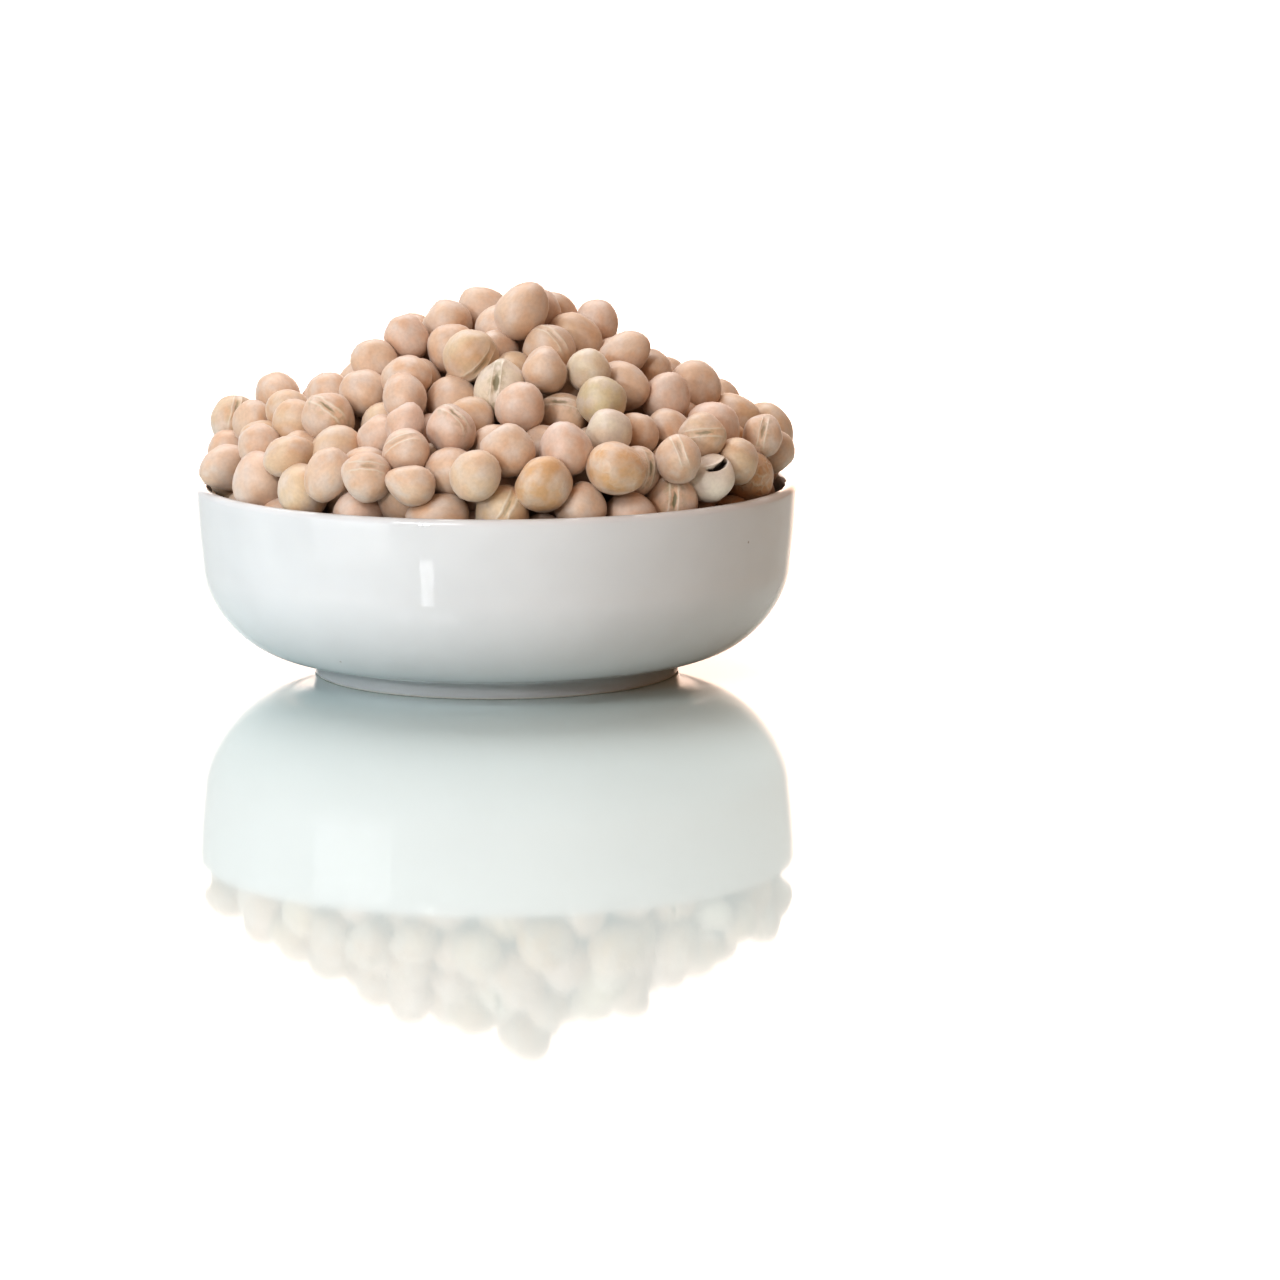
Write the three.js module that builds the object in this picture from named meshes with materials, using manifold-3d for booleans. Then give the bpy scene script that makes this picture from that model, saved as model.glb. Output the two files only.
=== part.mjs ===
// A small round bowl of glazed white porcelain, heaped with whole dried peas.
//
// Millimetres, +Z up. The origin is the middle of the foot ring, on the table.
// The bowl is turned from one profile. The peas are dropped into it one by one, and each
// rolls downhill until it lies still. The ones that show are fused to a core of packed
// peas, which fills the bowl and carries the heap.

import * as THREE from 'three';
import { ConvexHull } from 'three/addons/math/ConvexHull.js';
import { mergeVertices } from 'three/addons/utils/BufferGeometryUtils.js';
import Module from 'manifold-3d';

// ---- Sizes of the bowl ----

const RIM_RADIUS = 50;
const BOWL_HEIGHT = 32;
const BOWL_SIDES = 60;

// The rim is a round lip.
const LIP_RADIUS = 1.1;
const LIP_STEPS = 4;

// Outside, a steep wall stands on a round corner, which runs in to the foot.
const WALL = new THREE.Vector2(49.07, 18.92);
const UNDERSIDE = new THREE.Vector2(34.7, 3.56);
const WALL_CURVE = 1.756;
const WALL_STEPS = 7;

// Inside, the lining keeps the same form and ends in a flat floor.
const LINING = new THREE.Vector2(46.7, 19);
const FLOOR = new THREE.Vector2(33, 5.6);
const LINING_CURVE = 1.8;
const LINING_STEPS = 4;

// The foot is a ring round a shallow recess.
const FOOT_OUTER_RADIUS = 30.4;
const FOOT_INNER_RADIUS = 28;
const FOOT_JOIN = new THREE.Vector2(30.7, 2.4);
const RECESS = new THREE.Vector2(27.5, 2.6);

// ---- Sizes of the peas and the heap ----

const PEA_RADIUS = 4;
const PEA_SPREAD = 0.62;
const PEAS_DROPPED = 2500;
const PEA_SEED = 964;

// The heap is a blunt cone, with its middle a little to the right of the bowl's.
// Its heights are above the rim.
const HEAP_MIDDLE = { x: 2.4, y: 0 };
const HEAP_TOP = 33.5;
const CONE_TOP = 38.3;
const CONE_SLOPE = 0.6;

// Where the heap dips, and where it is banked up against the rim.
const HEAP_BUMPS = [
  { x: -27, y: 3.5, rise: -3.5, radius: 8.5 },
  { x: -43, y: 9.5, rise: 5.8, radius: 12 },
];

// The peas under this height are never seen and are left to the core.
const BED_HEIGHT = 18;

// The room between a pea and the porcelain, and between a pea and the rim's outline.
const PEA_CLEARANCE = 0.45;
const RIM_MARGIN = 0.1;
const RIM_MARGIN_SHARE = 0.04;

// How a pea is dropped, and the steps in which it rolls.
const DROP_RADIUS = 45;
const ROLL_REACH = 12;
const FIRST_STEP = 2;
const LAST_STEP = 0.02;
const LEAST_FALL = 1e-7;

// It tries sixteen directions, a sixteenth of a turn apart.
const DIRECTIONS = 16;
const TURN_COS = Math.sqrt((1 + Math.sqrt(0.5)) / 2);
const TURN_SIN = Math.sqrt((1 - Math.sqrt(0.5)) / 2);

// A pea shows when this share of the spots round its middle lies open from one side.
// The heap is looked at from above and from all round, at these slopes.
const OPEN_SHARE = 0.65;
const SPOT_SHARE = 0.6;
const LOOK_SLOPES = [0.2, 0.8];

// A pea that shows has 32 flat sides and is turned at random.
const PEA_DETAIL = 1;
const TURN_SEED = 7;

// The core keeps clear of the lining and ends a little under the middles of those peas.
const CORE_GAP = 0.4;
const CORE_STEPS = 4;
const CORE_SPOKES = 30;
const CORE_MIDDLE = new THREE.Vector3(0, 0, 18);
const SUNK_SHARE = 0.1;

// Points nearer than this are one when the peas are fused, so that no slivers are left.
const MERGE_DISTANCE = 0.1;

// ---- Materials ----

const PORCELAIN = new THREE.MeshStandardMaterial({ color: 0xf4f5f5, roughness: 0.12, metalness: 0 });
const DRIED_PEA = new THREE.MeshStandardMaterial({ color: 0xe2c3a2, roughness: 0.55, metalness: 0 });

// ---- The bowl ----

// A rounded corner from a low point, where it is level, to a high one, where it is upright.
function roundedCorner(low, high, curve, steps) {
  const points = [];
  for (let step = 0; step <= steps; step += 1) {
    const angle = (step / steps) * (Math.PI / 2);
    const across = Math.sin(angle) ** (2 / curve);
    const down = Math.cos(angle) ** (2 / curve);
    points.push(new THREE.Vector2(low.x + (high.x - low.x) * across, high.y - (high.y - low.y) * down));
  }
  return points;
}

// The lip's half circle, from its outer side over its top to its inner side.
function lip() {
  const points = [];
  for (let step = 0; step <= LIP_STEPS; step += 1) {
    const angle = (step / LIP_STEPS) * Math.PI;
    const out = RIM_RADIUS - LIP_RADIUS + LIP_RADIUS * Math.cos(angle);
    const height = BOWL_HEIGHT - LIP_RADIUS + LIP_RADIUS * Math.sin(angle);
    points.push(new THREE.Vector2(out, height));
  }
  return points;
}

// The lining from the floor up to the wall.
function liningCorner(steps) {
  return roundedCorner(FLOOR, LINING, LINING_CURVE, steps);
}

// The profile starts and ends on the axis. A lathe turns it round Y, and Y is then tipped to Z.
function bowlGeometry() {
  const profile = [
    new THREE.Vector2(0, RECESS.y),
    RECESS,
    new THREE.Vector2(FOOT_INNER_RADIUS, 0),
    new THREE.Vector2(FOOT_OUTER_RADIUS, 0),
    FOOT_JOIN,
    ...roundedCorner(UNDERSIDE, WALL, WALL_CURVE, WALL_STEPS),
    ...lip(),
    ...liningCorner(LINING_STEPS).reverse(),
    new THREE.Vector2(0, FLOOR.y),
  ];
  return new THREE.LatheGeometry(profile, BOWL_SIDES).rotateX(Math.PI / 2);
}

// ---- The peas where they come to rest ----

// Random numbers from 0 to 1, the same ones each time.
function randomNumbers(seed) {
  let state = seed;
  return () => {
    state = (Math.imul(state, 1664525) + 1013904223) >>> 0;
    return state / 2 ** 32;
  };
}

// Directions all round, each one turned from the last.
function directions() {
  const list = [{ x: 1, y: 0 }];
  while (list.length < DIRECTIONS) {
    const { x, y } = list[list.length - 1];
    list.push({ x: x * TURN_COS - y * TURN_SIN, y: x * TURN_SIN + y * TURN_COS });
  }
  return list;
}

const COMPASS = directions();

// The height of the heap's outline above the table.
function heapHeight(x, y) {
  const fromMiddleX = x - HEAP_MIDDLE.x;
  const fromMiddleY = y - HEAP_MIDDLE.y;
  const out = Math.sqrt(fromMiddleX * fromMiddleX + fromMiddleY * fromMiddleY);
  let height = Math.min(HEAP_TOP, CONE_TOP - CONE_SLOPE * out);
  for (const bump of HEAP_BUMPS) {
    const fromX = x - bump.x;
    const fromY = y - bump.y;
    const share = 1 - (fromX * fromX + fromY * fromY) / (bump.radius * bump.radius);
    if (share > 0) {
      height += bump.rise * share * share;
    }
  }
  return BOWL_HEIGHT + height;
}

// How low a pea's middle can be before the pea touches the bowl or the bed under it.
function heightOnBowl(x, y, radius) {
  const out = Math.sqrt(x * x + y * y);
  if (out > RIM_RADIUS - RIM_MARGIN - radius * (1 + RIM_MARGIN_SHARE)) {
    return Infinity;
  }
  const lipHeight = BOWL_HEIGHT - LIP_RADIUS;
  const flare = (RIM_RADIUS - 2 * LIP_RADIUS - LINING.x) / (lipHeight - LINING.y);
  const onWall = LINING.y + (out + radius + PEA_CLEARANCE - LINING.x) / flare;
  const low = Math.max(BED_HEIGHT + radius, onWall);
  if (low <= lipHeight) {
    return low;
  }
  const side = RIM_RADIUS - LIP_RADIUS - out;
  const span = radius + PEA_CLEARANCE + LIP_RADIUS;
  const rise = span * span - side * side;
  return rise > 0 ? lipHeight + Math.sqrt(rise) : lipHeight;
}

// How low it can be before it touches the bowl or another pea.
function restHeight(x, y, radius, others) {
  let height = heightOnBowl(x, y, radius);
  for (const other of others) {
    const fromX = x - other.x;
    const fromY = y - other.y;
    const span = radius + other.radius;
    const rise = span * span - fromX * fromX - fromY * fromY;
    if (rise > 0) {
      height = Math.max(height, other.z + Math.sqrt(rise));
    }
  }
  return height;
}

// The lowest place one step away, or null if every one is higher.
function stepDown(pea, step, others) {
  let best = null;
  let lowest = pea.z - LEAST_FALL;
  for (const way of COMPASS) {
    const x = pea.x + way.x * step;
    const y = pea.y + way.y * step;
    const z = restHeight(x, y, pea.radius, others);
    if (z < lowest) {
      best = { x, y, z };
      lowest = z - LEAST_FALL;
    }
  }
  return best;
}

// Rolls a pea downhill from where it is dropped, in ever smaller steps.
function rolledPea(x, y, radius, peas) {
  const reach = ROLL_REACH + 2.5 * PEA_RADIUS;
  const near = peas.filter((other) => Math.abs(other.x - x) < reach && Math.abs(other.y - y) < reach);
  const pea = { x, y, z: restHeight(x, y, radius, near), radius };
  let step = FIRST_STEP;
  while (step > LAST_STEP) {
    const place = stepDown(pea, step, near);
    const awayX = place === null ? 0 : place.x - x;
    const awayY = place === null ? 0 : place.y - y;
    if (place === null || awayX * awayX + awayY * awayY > ROLL_REACH * ROLL_REACH) {
      step *= 0.5;
    } else {
      Object.assign(pea, place);
    }
  }
  return pea;
}

// All the peas above the bed. One that would stand out of the heap's outline isn't kept.
function droppedPeas() {
  const random = randomNumbers(PEA_SEED);
  const peas = [];
  for (let drop = 0; drop < PEAS_DROPPED; drop += 1) {
    const x = (2 * random() - 1) * DROP_RADIUS;
    const y = (2 * random() - 1) * DROP_RADIUS;
    const radius = PEA_RADIUS + PEA_SPREAD * (random() + random() - 1);
    if (x * x + y * y <= DROP_RADIUS * DROP_RADIUS) {
      const pea = rolledPea(x, y, radius, peas);
      if (pea.z + pea.radius <= heapHeight(pea.x, pea.y)) {
        peas.push(pea);
      }
    }
  }
  return peas;
}

// ---- The peas that show ----

function middleOf(pea) {
  return new THREE.Vector3(pea.x, pea.y, pea.z);
}

// The ways in which the heap is seen: straight down, and from all round.
function looks() {
  const list = [new THREE.Vector3(0, 0, 1)];
  for (const slope of LOOK_SLOPES) {
    list.push(...COMPASS.map((way) => new THREE.Vector3(way.x, way.y, slope).normalize()));
  }
  return list;
}

// Whether the line from a spot along a look passes over the rim and clear of the other peas.
function isOpen(spot, look, others) {
  const level = Math.hypot(look.x, look.y);
  const toRim = RIM_RADIUS - Math.hypot(spot.x, spot.y);
  if (level > 0 && spot.z + (toRim * look.z) / level < BOWL_HEIGHT) {
    return false;
  }
  return others.every((other) => {
    const toOther = middleOf(other).sub(spot);
    const ahead = toOther.dot(look);
    return ahead < 0 || toOther.lengthSq() - ahead * ahead > other.radius * other.radius;
  });
}

// The share of the spots round a pea's middle that lies open along a look.
function openShare(pea, look, others) {
  const side = look.z < 1 ? new THREE.Vector3(look.y, -look.x, 0).normalize() : new THREE.Vector3(1, 0, 0);
  const up = side.clone().cross(look);
  const open = COMPASS.filter((way) => {
    const spot = middleOf(pea)
      .addScaledVector(side, way.x * SPOT_SHARE * pea.radius)
      .addScaledVector(up, way.y * SPOT_SHARE * pea.radius);
    return isOpen(spot, look, others);
  });
  return open.length / DIRECTIONS;
}

function peasThatShow(peas) {
  const ways = looks();
  return peas.filter((pea) => {
    const others = peas.filter((other) => other !== pea);
    return ways.some((look) => openShare(pea, look, others) >= OPEN_SHARE);
  });
}

function peaGeometry(pea, random) {
  const turn = new THREE.Euler(random() * Math.PI, random() * Math.PI, random() * Math.PI);
  return new THREE.OctahedronGeometry(pea.radius, PEA_DETAIL)
    .applyMatrix4(new THREE.Matrix4().makeRotationFromEuler(turn))
    .translate(pea.x, pea.y, pea.z);
}

// ---- The core under them ----

// A ring of points round Z, turned by a share of the step between two points.
function ring(radius, height, turn) {
  const points = [];
  for (let spoke = 0; spoke < CORE_SPOKES; spoke += 1) {
    const angle = ((spoke + turn) / CORE_SPOKES) * 2 * Math.PI;
    points.push(new THREE.Vector3(radius * Math.cos(angle), radius * Math.sin(angle), height));
  }
  return points;
}

// A closed solid with a corner at each point. Seen from its middle, no point hides another,
// so the points are joined in the way that the hull of their directions is.
function wrapped(points, middle) {
  const places = new Map(points.map((point) => [point.clone().sub(middle).normalize(), point]));
  const hull = new ConvexHull().setFromPoints([...places.keys()]);
  const corners = [];
  for (const face of hull.faces) {
    let edge = face.edge;
    do {
      corners.push(places.get(edge.head().point));
      edge = edge.next;
    } while (edge !== face.edge);
  }
  return new THREE.BufferGeometry().setFromPoints(corners);
}

// The core's underside follows the lining, and its top runs through the peas that show.
function coreGeometry(shown) {
  const points = [new THREE.Vector3(0, 0, FLOOR.y + CORE_GAP)];
  liningCorner(CORE_STEPS).forEach((point, level) => {
    points.push(...ring(point.x - CORE_GAP, point.y + CORE_GAP, (level % 2) / 2));
  });
  for (const pea of shown) {
    const inwards = CORE_MIDDLE.clone().sub(middleOf(pea)).normalize();
    points.push(middleOf(pea).addScaledVector(inwards, SUNK_SHARE * pea.radius));
  }
  return wrapped(points, CORE_MIDDLE);
}

// ---- The heap ----

const wasm = await Module();
wasm.setup();

// A closed geometry as a solid that can be joined to others.
function solid(geometry) {
  const plain = new THREE.BufferGeometry();
  plain.setAttribute('position', geometry.getAttribute('position'));
  const merged = mergeVertices(plain);
  return new wasm.Manifold(new wasm.Mesh({
    numProp: 3,
    vertProperties: merged.getAttribute('position').array,
    triVerts: merged.getIndex().array,
  }));
}

function geometryOf(joined) {
  const mesh = joined.getMesh();
  const geometry = new THREE.BufferGeometry();
  geometry.setAttribute('position', new THREE.BufferAttribute(mesh.vertProperties, mesh.numProp));
  geometry.setIndex(new THREE.BufferAttribute(mesh.triVerts, 1));
  geometry.computeVertexNormals();
  return geometry;
}

function heapGeometry() {
  const shown = peasThatShow(droppedPeas());
  const random = randomNumbers(TURN_SEED);
  const peas = shown.map((pea) => solid(peaGeometry(pea, random)));
  const joined = wasm.Manifold.union([solid(coreGeometry(shown)), ...peas]);
  return geometryOf(joined.simplify(MERGE_DISTANCE));
}

// ---- The model ----

function part(name, geometry, material) {
  const mesh = new THREE.Mesh(geometry, material);
  mesh.name = name;
  return mesh;
}

const bowlOfPeas = new THREE.Group();
bowlOfPeas.add(part('bowl', bowlGeometry(), PORCELAIN));
bowlOfPeas.add(part('pea_heap', heapGeometry(), DRIED_PEA));

export default bowlOfPeas;
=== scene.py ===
"""A small round bowl of white glazed porcelain, heaped with whole dried peas.

Blender 4.5, metres, +Z up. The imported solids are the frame: the bowl keeps their profile, and
the peas are dropped and rolled by the same rule as in the part's source, so that each one
lies where the solid has it. The sizes of that rule are in millimetres, as they are there.
"""

import math
import random
from collections import namedtuple
from functools import partial

import bmesh
import bpy
import numpy as np
from mathutils import Matrix, Vector


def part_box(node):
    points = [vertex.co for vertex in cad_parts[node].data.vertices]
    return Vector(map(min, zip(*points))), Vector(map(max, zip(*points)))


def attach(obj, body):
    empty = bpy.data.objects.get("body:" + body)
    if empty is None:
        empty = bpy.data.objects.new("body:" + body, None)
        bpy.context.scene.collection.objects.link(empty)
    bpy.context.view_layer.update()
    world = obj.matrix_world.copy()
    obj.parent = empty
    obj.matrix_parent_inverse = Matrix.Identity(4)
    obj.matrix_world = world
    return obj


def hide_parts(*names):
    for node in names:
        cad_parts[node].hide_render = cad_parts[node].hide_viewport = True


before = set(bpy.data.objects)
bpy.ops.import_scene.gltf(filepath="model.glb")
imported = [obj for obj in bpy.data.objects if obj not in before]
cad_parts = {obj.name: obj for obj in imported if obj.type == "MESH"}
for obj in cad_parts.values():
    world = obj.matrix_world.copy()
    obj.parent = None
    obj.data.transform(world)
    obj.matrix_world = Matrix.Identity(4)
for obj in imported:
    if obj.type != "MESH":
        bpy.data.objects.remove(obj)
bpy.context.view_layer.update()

bl_info = {
    "name": "Bowl of dried peas",
    "version": (1, 0, 0),
    "blender": (4, 5, 0),
    "location": "3D View > Sidebar > Peas",
    "description": "Makes a porcelain bowl, the dried peas heaped in it, and a pale stage",
    "category": "Add Mesh",
}

MM = 0.001
BODY = "root"
BOWL_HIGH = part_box("bowl")[1]

# ---- The bowl's profile, in millimetres from its axis and from the table ----

WALL = (49.07, 18.92)
UNDERSIDE = (34.7, 3.56)
WALL_CURVE = 1.756
WALL_SWELL = 0.12
WALL_STEPS = 10
LINING = (46.7, 19.0)
FLOOR = (33.0, 5.6)
LINING_CURVE = 1.8
CORNER_STEPS = 28
LIP_STEPS = 14
FOOT_JOIN = (30.7, 2.4)
FOOT_OUTER_RADIUS = 30.4
FOOT_INNER_RADIUS = 28.0
FOOT_ROUNDING = 0.5
FOOT_STEPS = 5
RECESS = (27.5, 2.6)
RECESS_ROUNDING = 0.4

# Where the glaze starts above the table, and what shows in it.
BARE_HEIGHT = 0.2 * MM
GLAZED_HEIGHT = 0.45 * MM
CLOUD_WIDTH = 16 * MM
SPECK_SPACING = 9 * MM
SPECK_COLOUR = "9C8F80"
RIPPLE_WIDTH = 11 * MM
RIPPLE_HEIGHT = 0.08 * MM

# The bed of packed peas that carries the ones that show, and how deep the lowest are sunk in it.
BED_GAP = 0.4
BED_SINK = 2.0
BED_SIDES = 64
BED_STEPS = 8

# ---- How the peas are dropped, in millimetres ----

# Where the heap dips, and where it is banked up against the rim.
HeapBump = namedtuple("HeapBump", "x y rise radius")
HEAP_BUMPS = [HeapBump(-27, 3.5, -3.5, 8.5), HeapBump(-43, 9.5, 5.8, 12)]
HEAP_MIDDLE = (2.4, 0.0)
BED_HEIGHT = 18.0
PEA_CLEARANCE = 0.45
RIM_MARGIN = 0.1
RIM_MARGIN_SHARE = 0.04
DROP_RADIUS = 45.0
ROLL_REACH = 12.0
NEAR_RADII = 2.5
FIRST_STEP = 2.0
LAST_STEP = 0.02
LEAST_FALL = 1e-7
DIRECTIONS = 16
TURN_COS = math.sqrt((1 + math.sqrt(0.5)) / 2)
TURN_SIN = math.sqrt((1 - math.sqrt(0.5)) / 2)

# ---- Which peas show ----

# Spots on a ring of this share of a pea's radius are looked at from above and all round, at
# these slopes. A pea shows where at least this share of its spots can be seen from one side, and
# is in front where the camera sees the share after it.
SPOT_SHARE = 0.75
LOOK_SLOPES = [0.2, 0.8]
LEAST_OPEN_SHARE = 0.05
FRONT_OPEN_SHARE = 0.4

# ---- The camera of the photo, whose frame is square ----

PHOTO_PIXELS = 1280
CAMERA_AIM = Vector((0.02395, 0.0, 0.00502))
CAMERA_DISTANCE = 0.9
CAMERA_ELEVATION = 0.1574
CAMERA_LENS = 151.4
SENSOR_WIDTH = 36.0
CAMERA_BACK = Vector((0, -math.cos(CAMERA_ELEVATION), math.sin(CAMERA_ELEVATION)))
CAMERA_RIGHT = Vector((1, 0, 0))
CAMERA_UP = CAMERA_BACK.cross(CAMERA_RIGHT)
CAMERA_PLACE = CAMERA_AIM + CAMERA_BACK * CAMERA_DISTANCE

# ---- The forms of pea, on a ball with a radius of 1 ----

# A form is cut into this many faces along each side of a cube, and crowd draws them towards the
# seam. It is stretched along its seam, narrowed towards one end, and pressed flat where it lay
# against other peas in the pod. The eye is a dimple, the seam two ridges that pass it, the tip a
# point under it, and the slit a crack.
PeaForm = namedtuple("PeaForm", "faces stretch taper press eye seam tip slit crowd", defaults=[0] * 8)
FORMS = {
    "buried": PeaForm(3),
    "round": PeaForm(6, press=0.04),
    "oval": PeaForm(6, stretch=0.16),
    "egg": PeaForm(6, stretch=0.07, taper=0.13),
    "pressed": PeaForm(6, press=0.13),
    "green": PeaForm(6, press=0.13),
    "flaky": PeaForm(10, stretch=0.05, press=0.05),
    "seamed": PeaForm(14, stretch=0.05, press=0.04, eye=0.07, seam=0.035, tip=0.03, crowd=0.6),
    "pointed": PeaForm(20, stretch=0.1, eye=0.07, seam=0.035, tip=0.16, crowd=0.4),
    "split": PeaForm(40, stretch=0.05, slit=0.3, crowd=0.3),
}
PLAIN_KINDS = ["round", "oval", "egg", "pressed"]

# A pea is this much fuller than the ball that was dropped for it, to make up for its hollows,
# and each of its three widths can be this much more or less.
FULLNESS = 1.05
WIDTH_SPREAD = 0.07

# The sides on which a form is pressed flat, how sharp the edge of each flat is, and how much a
# place has to face a side to be pressed by it.
PRESSED_SIDES = [(0.0, 0.0, -1.0), (0.8, 0.6, 0.0), (-0.7, 0.7, 0.14), (-0.2, -0.97, 0.1)]
PRESS_SHARPNESS = 30
LEAST_FACING = 0.1

# Where a seam's parts lie on the ball: half widths along the seam and across it. On one side
# the slit has a lip, so many of its widths from its middle and this share of its depth high.
EYE_LENGTH = 0.32
EYE_WIDTH = 0.07
SEAM_WIDTH = 0.16
RIDGE_WIDTH = 0.07
TIP_PLACE = -0.78
TIP_WIDTH = 0.3
SLIT_LENGTH = 0.62
SLIT_WIDTH = 0.07
SLIT_BEND = 0.5
SLIT_LIP_PLACE = 2.2
SLIT_LIP_SHARE = 0.25

# Peas that stand out in the photo, kind by kind: the pixel at the middle of each, how its seam
# is turned from level, and how high and how far right of its middle the eye is, all in degrees,
# and how dark the eye is.
Spot = namedtuple("Spot", "x y seam eye_up eye_right mark", defaults=[0, 0, 0.0])
SPOTS = {
    "split": [Spot(724, 484, 28, 26, 30, 1.0)],
    "pointed": [Spot(518, 390, -92, 22, -10, 0.9)],
    "green": [
        Spot(612, 396, 30, 50, 30, 0.0), Spot(601, 366, 0, 60, 0, 0.3), Spot(592, 427, 20, 60, 30, 1.0),
    ],
    "flaky": [
        Spot(755, 465, 20, 60, 30, 1.0), Spot(548, 492, 20, 60, 30, 0.3), Spot(615, 462, 20, 60, 30, 0.5),
    ],
    "seamed": [
        Spot(670, 485, 84, 8, 8, 1.0), Spot(688, 415, 4, 8, 6, 0.6), Spot(490, 497, 62, 6, 14, 0.5),
        Spot(545, 418, -6, 40, -10, 0.7), Spot(436, 421, -50, 38, 12, 0.6), Spot(320, 424, -38, 22, 0, 0.7),
        Spot(707, 462, -70, 34, 0, 0.3), Spot(661, 456, 80, 6, 46, 0.8), Spot(363, 492, -6, 26, 6, 0.3),
        Spot(773, 438, 78, 10, 0, 0.6), Spot(240, 428, 78, 24, 10, 0.6), Spot(400, 458, 30, 30, -26, 0.2),
        Spot(474, 384, 54, -28, 30, 0.4), Spot(548, 350, -50, 40, 10, 0.2),
    ],
    "oval": [
        Spot(430, 497, 8), Spot(478, 310, -35), Spot(580, 326, -30), Spot(600, 350, 35), Spot(277, 470, 20),
    ],
    "pressed": [
        Spot(568, 385, 0), Spot(640, 428, 40, 30), Spot(440, 355, 70, 20), Spot(466, 436, 110, 0, 30),
    ],
    "egg": [Spot(518, 322, 60), Spot(652, 384, 60), Spot(402, 462, 160)],
}

# What share of the peas that the photo doesn't show is of each kind.
SEAMED_SHARE = 0.22
GREEN_SHARE = 0.04
FLAKY_SHARE = 0.04

# ---- The patterns of a seed coat, in millimetres on a pea of this radius ----

COAT_RADIUS = 4.0
CHEEK_WIDTH = 4.5
BLOOM_WIDTH = 2.4
MOTTLE_WIDTH = 0.55
WRINKLE_WIDTH = 1.5
WRINKLE_HEIGHT = 0.12
WOBBLE_WIDTH = 1.4
SEAM_SPOT_WIDTH = 0.9
SEAM_SPOT_COLOUR = "A89F82"
RIDGE_HEIGHT = 0.12
NET_SPACING = 1.3
NET_BEND = 1.2
NET_HEIGHT = 0.15
FLAKED_WIDTH = 3.0

# ---- The light ----

# Between these a direction meets the edge of the lit backdrop, by how far back and how high up
# it points.
BACKDROP_SIDE = (0.9, 0.975)
BACKDROP_TOP = (0.6, 0.3)
COOL_LIGHT = "F3F9FF"
WARM_LIGHT = "FFC291"
LAMP_COLOUR = "FAFCFF"

# Each soft light: its place and the point that it shines at, its width and height, in metres,
# and the setting with its power. The floor mirrors the window to the left side of the bowl's
# wall, and the glaze mirrors that to the camera.
SoftLight = namedtuple("SoftLight", "name place aim width height power")
SOFT_LIGHTS = [
    SoftLight("softbox", (-0.35, -0.7, 0.6), (0, 0, 0.04), 0.4, 0.3, "key"),
    SoftLight("rim_softbox", (-0.1, 0.45, 0.8), (0, 0, 0.04), 0.8, 0.5, "rim"),
    SoftLight("low_softbox", (-0.7, -0.5, 0.12), (0, 0, 0.02), 0.5, 0.2, "low"),
    SoftLight("window", (-0.419, -0.912, 0.3), (-0.0097, -0.0484, 0.0226), 0.09, 0.08, "window"),
]

# The floor's outline, and the shallow waves in its polish.
FLOOR_SIDES = 64
WAVE_WIDTH = 60 * MM


def linear(hex_colour):
    """An sRGB hex colour as linear red, green and blue, and an alpha of 1."""
    parts = [int(hex_colour[place:place + 2], 16) / 255 for place in (0, 2, 4)]
    evened = [part / 12.92 if part <= 0.04045 else ((part + 0.055) / 1.055) ** 2.4 for part in parts]
    return (*evened, 1.0)


def number_setting(name, description, default, unit="NONE"):
    """A number that a user may change."""
    return bpy.props.FloatProperty(name=name, description=description, default=default, unit=unit)


def colour_setting(name, description, hex_colour):
    """A colour that a user may change."""
    return bpy.props.FloatVectorProperty(
        name=name, description=description, default=linear(hex_colour), subtype="COLOR", size=4,
    )


# ---- What a user may change ----


class PeaBowlSizes(bpy.types.PropertyGroup):
    rim_radius: number_setting(
        "Rim radius", "From the bowl's axis to the outside of its lip", BOWL_HIGH.x, "LENGTH",
    )
    height: number_setting("Height", "From the table to the top of the lip", BOWL_HIGH.z, "LENGTH")
    lip_radius: number_setting("Lip radius", "Half the thickness of the round lip", 0.0011, "LENGTH")
    sides: bpy.props.IntProperty(
        name="Sides", description="How many steps the profile is turned in", default=160,
    )
    glaze: colour_setting("Glaze", "Colour of the glazed porcelain", "DEE0E1")
    bare: colour_setting("Bare body", "Colour of the foot, which is wiped free of glaze", "EDEAE4")


class PeaHeapSizes(bpy.types.PropertyGroup):
    pea_radius: number_setting("Pea radius", "Half the width of an average pea", 0.004, "LENGTH")
    pea_spread: number_setting(
        "Pea spread", "How much larger or smaller than average a radius can be", 0.00062, "LENGTH",
    )
    peas_dropped: bpy.props.IntProperty(
        name="Peas dropped",
        description="How many peas are dropped. Those that would stand out of the heap aren't kept",
        default=2500,
    )
    seed: bpy.props.IntProperty(name="Seed", description="Which of the random heaps this is", default=964)
    top: number_setting("Top", "How high the heap's blunt top is above the rim", 0.0335, "LENGTH")
    cone_top: number_setting(
        "Cone top", "How high above the rim the heap's sides would meet", 0.0383, "LENGTH",
    )
    cone_slope: number_setting("Cone slope", "How far the heap falls for each length outwards", 0.6)
    lump_height: number_setting(
        "Lump height", "How far a seed coat stands off an even ball", 0.0016, "LENGTH",
    )
    lump_size: number_setting("Lump size", "How wide a lump or a hollow in a pea is", 0.0065, "LENGTH")


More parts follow.
